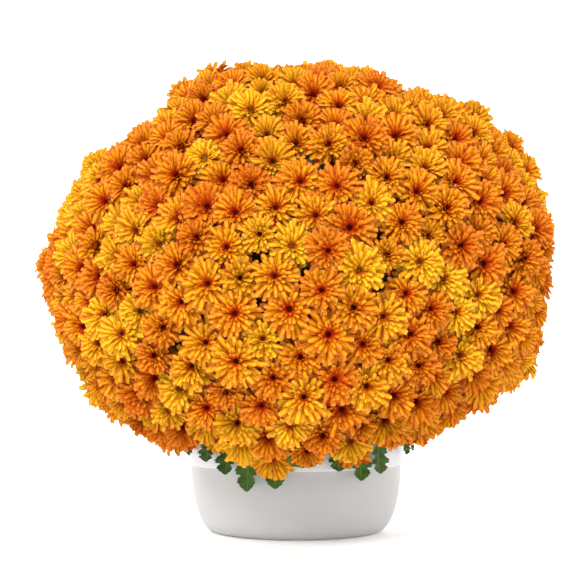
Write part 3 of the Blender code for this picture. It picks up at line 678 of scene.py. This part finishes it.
for number in range(SPRAY_COUNT):
    own = np.flatnonzero(spray_number == number)
    centre = middles[own].mean(0)
    foot = feet[number]
    end = centre - unit(axes[own].mean(0)) * STEM_END_DEPTH
    knee = foot + up * (0.05 + 0.3 * max(centre[2] - MOUND_CENTRE, 0)) + foot * [0.12, 0.12, 0]
    stem_line = bent(foot, knee, end, STEM_KNOTS)[None]
    stem_points, stem_quads = tubes(stem_line, STEM_RADIUS * np.linspace(1, 0.55, STEM_KNOTS), 8)

    # A stalk leaves the stem above its fork for each bloom, and comes up straight behind it.
    share = draw.uniform(0.45, 0.92, len(own))
    knots = np.linspace(0, 1, STEM_KNOTS)
    roots = np.stack([np.interp(share, knots, stem_line[0, :, k]) for k in range(3)], -1)
    backs = hearts[own] - facing[own] * CUP_DEPTH
    stalk_lines = bent(roots, backs - axes[own] * 0.05, backs, 6)
    stalk_points, stalk_quads = tubes(stalk_lines, STALK_RADIUS, 4)

    # The green cup that holds each bloom's petals.
    cup_lines = backs[:, None] + facing[own][:, None] * np.linspace(-0.0015, 0.0058, 4)[None, :, None]
    cup_points, cup_quads = tubes(cup_lines, CUP_RADII, 6)

    # Two leaves on each stalk, spread under the blooms.
    count = 2 * len(own)
    carrier = np.repeat(own, 2)
    way = draw.uniform(0, math.tau, count)
    across = unit(np.cross(axes[carrier], [0.2, 0.1, 1.0]))
    beside = np.cross(axes[carrier], across)
    flat = across * np.cos(way)[:, None] + beside * np.sin(way)[:, None]
    depth = draw.uniform(0.032, 0.050, count)
    root = tops[carrier] - axes[carrier] * depth[:, None]
    rise = draw.uniform(-0.25, 0.18, count) - 0.35 * np.clip(-normals[carrier, 2], 0, 1)
    size = LEAF_LENGTH * draw.uniform(0.6, 0.95, count)
    tip = root + (flat + axes[carrier] * rise[:, None]) * size[:, None]
    arch = root + (flat + axes[carrier] * (rise + 0.25)[:, None]) * (size * 0.5)[:, None]
    lines = bent(root, arch, tip, LEAF_ROWS)
    draws = draw.uniform(0, 1, (count, 4))
    faces = np.repeat(axes[carrier][:, None], LEAF_ROWS, axis=1)
    half_width = LEAF_HALF_WIDTH * draw.uniform(0.75, 1.05, count)

    parts = [
        (stem_points, stem_quads, np.tile([0.5, 0.4, 0.7], (len(stem_points), 1))),
        (stalk_points, stalk_quads, np.tile([0.5, 0.4, 0.9], (len(stalk_points), 1))),
        (cup_points, cup_quads, np.tile([0.5, 0.4, 0.8], (len(cup_points), 1))),
        blades(lines, faces, half_width, across=3, lobes=3, draws=draws),
    ]

    # The leaves that hang over the rim, finer because they stand in full view.
    for k in np.flatnonzero(skirt_owner == number):
        out = np.array([math.cos(skirt_azimuth[k]), math.sin(skirt_azimuth[k]), 0.0])
        heights = np.where(SKIRT_PATH[:, 1] < 0, SKIRT_PATH[:, 1] * SKIRT_LEAVES[k][1], SKIRT_PATH[:, 1])
        knots = out * (POT_RADIUS + SKIRT_PATH[:, :1]) + up * (POT_HEIGHT + heights[:, None])
        along = np.linspace(0, len(knots) - 1, SKIRT_ROWS)
        line = np.stack([np.interp(along, np.arange(len(knots)), knots[:, j]) for j in range(3)], -1)[None]
        faces = np.tile(out, (1, SKIRT_ROWS, 1))
        draws = draw.uniform(0, 1, (1, 4))
        parts.append(blades(line, faces, np.array([SKIRT_HALF_WIDTH]), across=9, lobes=4, draws=draws))

    points, quads, marks = joined(parts)
    piece(
        f"leafy_shoot_{number + 1:02d}",
        points,
        quads,
        leaf_look,
        f"shoot_{number + 1:02d}",
        {"blade": marks},
    )

# The blooms
#
# Each is a head of some 120 strap petals in layers around a small dark disc. The lowest layer turns back and
# shows its rosy backs, darkened as painted shade in the gaps between blooms; the next ones lie flat, and the
# inner ones stand up as a cup. The petals are golden in the face, and deep red at the root, red along the
# edges and peach at the tip: partly their own colours, partly painted shade at the root and in the creases
# between petals, and a painted highlight at the tip.

PETAL_START = 0.10  # distance of the petals' roots from the axis, in radii
DISC_HEIGHTS = np.array([0.02, 0.10, 0.15, 0.17])  # in bloom radii
DISC_RADII = np.array([0.09, 0.11, 0.08, 0.03])
HUE_SPLIT = (0.55, 0.50)  # blooms drawn below the first turn yellow, and those above the second turn red
BACK_MARK = 2.0  # added to the reach that marks petals which show their backs
DISC_MARK = -1.0  # the reach that marks the disc
RIM_CLEAR = 0.0085  # of the lowest petals, outside the planter's rim
# Places along a petal, its width there, and how much of its fall it has there: its tip turns up again.
LONG = np.array([(0.0, 0.42, 0.0), (0.45, 0.84, 0.60), (0.84, 1.0, 0.88), (1.0, 0.62, 0.35)])
SHORT = np.array([(0.0, 0.50, 0.0), (0.68, 1.0, 0.80), (1.0, 0.58, 0.25)])
# Layers from the outside in: petals in it, its rows, reach in radii, rise in degrees at the root, how far the
# petal turns down along its length, half width in radii, height of the root above the back in radii, and how
# much of its back shows.
LAYERS = [
    (15, SHORT, 0.99, -16, 34, 0.130, -0.06, 1.0),
    (23, LONG, 1.00, 6, 34, 0.117, 0.00, 0.0),
    (22, LONG, 0.94, 19, 36, 0.112, 0.05, 0.0),
    (20, LONG, 0.83, 30, 36, 0.106, 0.10, 0.0),
    (18, LONG, 0.69, 40, 32, 0.096, 0.14, 0.0),
    (15, SHORT, 0.52, 48, 26, 0.086, 0.17, 0.0),
    (10, SHORT, 0.35, 56, 14, 0.074, 0.18, 0.0),
]


def petal_layer(heart, axis, radius, opened, layer, draw):
    """One layer of petals on each of a set of blooms, as a grid (bloom, petal, row, column).

    A petal's midline leaves the heart at an angle that falls along it. Across it the edges stand up from the
    midline as a channel, which deepens at the tip. Each petal is turned, tilted, rolled and sized by draws.
    """
    count, rows, reach, rise, fall, width, height, back = layer
    places, widths, falls = rows.T
    blooms = len(heart)
    shape = (blooms, count)
    level = unit(np.cross(axis, [0.13, 0.21, 0.97]))
    other = np.cross(axis, level)
    start = draw.uniform(0, math.tau, (blooms, 1))
    angle = start + (np.arange(count) + draw.uniform(-0.38, 0.38, shape)) * math.tau / count
    length = radius[:, None] * reach * draw.uniform(0.80, 1.08, shape)
    swerve = draw.uniform(-0.10, 0.10, shape) * length
    lift = rise + (1 - opened[:, None]) * 38 + draw.uniform(-11, 11, shape)
    lift = np.radians(lift[..., None] - fall * draw.uniform(0.5, 1.3, shape)[..., None] * falls)
    step = np.diff(places, prepend=0.0)
    mean = (lift + np.concatenate([lift[..., :1], lift[..., :-1]], -1)) / 2
    out = PETAL_START * radius[:, None, None] + length[..., None] * np.cumsum(np.cos(mean) * step, -1)
    high = (height * radius)[:, None, None] + length[..., None] * np.cumsum(np.sin(mean) * step, -1)
    outward = np.cos(angle)[..., None] * level[:, None] + np.sin(angle)[..., None] * other[:, None]
    aside = np.cross(axis[:, None], outward)
    upward = axis[:, None, None]
    face = -np.sin(lift)[..., None] * outward[:, :, None] + np.cos(lift)[..., None] * upward
    roll = draw.uniform(-0.4, 0.4, shape)[..., None, None]
    beside = np.cos(roll) * aside[:, :, None] + np.sin(roll) * face
    raised = np.cos(roll) * face - np.sin(roll) * aside[:, :, None]
    half = width * radius[:, None, None] * draw.uniform(0.85, 1.12, shape)[..., None] * widths
    column = np.array([-1.0, 0.0, 1.0])
    midline = heart[:, None, None] + outward[:, :, None] * out[..., None] + upward * high[..., None]
    midline = midline + aside[:, :, None] * (swerve[..., None] * places**2)[..., None]
    channel = (0.40 + 0.30 * places)[None, None, :, None] * np.abs(column)
    points = (
        midline[..., None, :]
        + beside[..., None, :] * (half[..., None] * column)[..., None]
        + raised[..., None, :] * (half[..., None] * channel)[..., None]
    )
    size = (*shape, len(rows), 3)
    reached = PETAL_START + length[..., None] / radius[:, None, None] * places + BACK_MARK * back
    reached = np.broadcast_to(reached[..., None], size)
    marks = np.stack([reached, np.broadcast_to(places[:, None], size), np.broadcast_to(column, size)], -1)
    tint = np.broadcast_to(draw.uniform(0, 1, shape)[..., None, None], size)
    return points, marks, tint


def heads(hearts, axis, radius, opened, tone, draw):
    """(points, quads, petal marks, bloom marks) of a set of blooms."""
    parts = []
    for layer in LAYERS:
        found, mark, tint = petal_layer(hearts, axis, radius, opened, layer, draw)
        blooms, petals, rows, columns, _ = found.shape
        upper_side_out = grid(rows, columns)[:, ::-1]
        quads = repeated(upper_side_out, blooms * petals, rows * columns)
        own = np.broadcast_to(tone[:, None, None, None], (*tint.shape, 2))
        tones = np.concatenate([own, tint[..., None]], -1)
        parts.append((found.reshape(-1, 3), quads, mark.reshape(-1, 3), tones.reshape(-1, 3)))
    lines = hearts[:, None] + axis[:, None] * (DISC_HEIGHTS * BLOOM_RADIUS)[None, :, None]
    disc, quads = tubes(lines, DISC_RADII * BLOOM_RADIUS, 6)
    own = np.repeat(tone, len(disc) // len(hearts), axis=0)
    tones = np.concatenate([own, np.full((len(disc), 1), 0.5)], -1)
    parts.append((disc, quads, np.tile([DISC_MARK, 0.0, 0.0], (len(disc), 1)), tones))
    return joined(parts)


def petal_skin():
    """Petals: from deep red at the heart through orange to gold, peach at the tip and red along the edges.

    The deep red at the root and the red along the edges are partly the petals' own colour and partly painted
    shade, deep among the layers and in the creases between petals; the peach at the tip is partly a painted
    highlight. Each bloom and each petal is yellower or redder by its own draw. The lowest layer shows its
    rosy backs, darkened as painted shade in the gaps between blooms, and fine ribs run along each petal.
    """
    look = Finish("bronze petals", {"Specular IOR Level": 0.07})
    reach, along, across = look.attribute("petal")
    yellow, red, own = look.attribute("tone")
    edge = abs(across)
    drift = look.noise(45.0, 2.0)
    region = look.noise(11.0, 1.0)
    redder = (red * 0.62 + (region - 0.5) * 0.9 + (own - 0.5) * 0.22).kept()
    yellower = (yellow * 1.1 - redder * 0.6).kept()
    shifted = reach + (own - 0.5) * 0.10 - redder * 0.10 + (drift - 0.5) * 0.08
    # Deep red to near black at the petals' roots: partly the bloom's own red heart, partly painted shade and
    # painted red bounce light deep among the layers.
    face = look.node(
        "ValToRGB",
        {"Fac": shifted},
        stops=[
            (0.0, (0.05, 0.002, 0.001)),
            (0.13, (0.20, 0.004, 0.001)),
            (0.24, (0.58, 0.035, 0.001)),
            (0.36, (0.86, 0.220, 0.001)),
            (0.58, (0.90, 0.430, 0.003)),
            (1.0, (0.88, 0.370, 0.006)),
        ],
    )
    inner = reach.step(0.15, 0.40) * (1 - reach.step(0.65, 1.05) * 0.5)
    lemon = look.mix((yellower + 0.10).kept() * inner, face, (0.91, 0.62, 0.012))
    deep = look.mix(redder * 0.85, lemon, (0.66, 0.090, 0.001))
    # Red along the edges: partly the petals' own bronze edges, partly painted shade in the creases between
    # petals. The lower half of each petal is reddened as painted shade under the layer above.
    edge_and_shade_colour = look.mix(along, (0.40, 0.010, 0.001), (0.60, 0.095, 0.006))
    edge_and_shade_colour = look.mix(yellower * 0.4, edge_and_shade_colour, (0.84, 0.34, 0.010))
    edge_and_painted_shade = edge.step(0.22, 0.95) + (1 - along.step(0.0, 0.50)) * 0.40
    colour = look.mix(edge_and_painted_shade.kept(), deep, edge_and_shade_colour)
    # Peach at the tip: partly the petals' own colour, partly a painted highlight.
    peach_tip_and_highlight = look.mix(yellower, (0.80, 0.28, 0.050), (0.94, 0.58, 0.060))
    tip = along.step(0.86, 1.0) * 0.70
    colour = look.mix(tip, colour, peach_tip_and_highlight)
    # Rosy backs of the lowest layer, darkened as painted shade in the gaps between blooms.
    backs = look.mix(own, (0.30, 0.014, 0.004), (0.52, 0.080, 0.020))
    colour = look.mix(reach.step(BACK_MARK - 0.4, BACK_MARK - 0.1), colour, backs)
    disc = 1 - reach.step(DISC_MARK + 0.1, DISC_MARK + 0.6)
    heart = look.mix(yellow.step(0.7, 0.9), (0.035, 0.006, 0.003), (0.16, 0.17, 0.02))
    colour = look.mix(disc, colour, heart)
    ribs = (across * 7.0).sine() * 0.5
    return look.done(colour, drift * 0.1 + 0.55, height=ribs, depth=0.00012)


draw = np.random.default_rng(SEED + 3)
petal_look = petal_skin()
hue = draw.uniform(0, 1, BLOOM_COUNT)
tone = np.clip(np.stack([HUE_SPLIT[0] - hue, hue - HUE_SPLIT[1]], -1) / 0.60, 0, 1)

for number in range(SPRAY_COUNT):
    own = np.flatnonzero(spray_number == number)
    points, quads, marks, tones = heads(hearts[own], facing[own], radius[own], opened[own], tone[own], draw)
    # The lowest petals hang outside the rim, not through it.
    out = np.hypot(points[:, 0], points[:, 1])
    held = (points[:, 2] < POT_HEIGHT + 0.006) & (out < POT_RADIUS + RIM_CLEAR)
    points[held, :2] *= ((POT_RADIUS + RIM_CLEAR) / out[held])[:, None]
    piece(
        f"spray_of_blooms_{number + 1:02d}",
        points,
        quads,
        petal_look,
        f"blooms_{number + 1:02d}",
        {"petal": marks, "tone": tones},
    )

# The studio
#
# A white paper sweep, one broad lamp above the front, a soft one on each side, and two on the paper behind.

CAMERA_AT = (0.0, -1.6, 0.20)
CAMERA_AIM = (-0.0085, 0.0, 0.256)
CAMERA_LENS = 94.0
# Name, place, aim, size and power.
LAMPS = [
    ("lamp_front_high", (-0.5, -2.4, 2.2), (0, 0, 0.25), 1.0, 63),
    ("lamp_left", (-2.6, -0.8, 1.3), (0, 0, 0.25), 1.6, 14),
    ("lamp_right", (2.6, -0.9, 1.1), (0, 0, 0.25), 1.6, 8),
    ("lamp_sweep_left", (-2.4, 0.9, 2.4), (-0.4, 3.4, 0.6), 1.2, 120),
    ("lamp_sweep_right", (2.4, 0.9, 2.4), (0.4, 3.4, 0.6), 1.2, 120),
]
SKY_STRENGTH = 0.62


def sweep(half_width, front, back, top, bend):
    """A sheet that lies on the ground and curves up behind: flat, a quarter circle, then upright."""
    turn = np.linspace(0, math.pi / 2, 17)
    y = np.concatenate([[front], back + bend * np.sin(turn), [back + bend]])
    z = np.concatenate([[0.0], bend * (1 - np.cos(turn)), [top]])
    x = np.linspace(-half_width, half_width, 9)
    points = np.stack(np.broadcast_arrays(x[None], y[:, None], z[:, None]), -1)
    return points, grid(len(y), 9)


def lamp(name, at, aim, size, power):
    """A round lamp at a place, turned to its aim."""
    light = bpy.data.lights.new(name, "AREA")
    light.shape = "DISK"
    light.size = size
    light.energy = power
    made = bpy.data.objects.new(name, light)
    made.location = at
    made.rotation_mode = "QUATERNION"
    made.rotation_quaternion = direction(at, aim)
    bpy.context.scene.collection.objects.link(made)


def direction(at, aim):
    """The turn that points -Z from at to aim, with +Y up."""
    return (Vector(aim) - Vector(at)).to_track_quat("-Z", "Y")


paper = Finish("white studio paper", {"Emission Color": (1.0, 1.0, 1.0), "Emission Strength": 0.15})
paper_colour = paper.mix(paper.noise(3.0), (0.93, 0.93, 0.93), (0.95, 0.95, 0.95))
points, quads = sweep(6.0, -5.0, 2.0, 6.0, 1.5)
mesh = bpy.data.meshes.new("studio_sweep")
mesh.from_pydata(points.reshape(-1, 3), [], quads)
mesh.materials.append(paper.done(paper_colour, 0.9))
mesh.shade_smooth()
floor = bpy.data.objects.new("studio_sweep", mesh)
bpy.context.scene.collection.objects.link(floor)

for settings in LAMPS:
    lamp(*settings)
world = bpy.data.worlds.new("studio")
world.use_nodes = True
world.node_tree.nodes["Background"].inputs["Color"].default_value = (1.0, 1.0, 1.0, 1.0)
world.node_tree.nodes["Background"].inputs["Strength"].default_value = SKY_STRENGTH
bpy.context.scene.world = world
bpy.context.scene.view_settings.view_transform = "Standard"

camera = bpy.data.cameras.new("camera")
camera.lens = CAMERA_LENS
camera.sensor_width = 36.0
viewer = bpy.data.objects.new("camera", camera)
viewer.location = CAMERA_AT
viewer.rotation_mode = "QUATERNION"
viewer.rotation_quaternion = direction(CAMERA_AT, CAMERA_AIM)
bpy.context.scene.collection.objects.link(viewer)
bpy.context.scene.camera = viewer
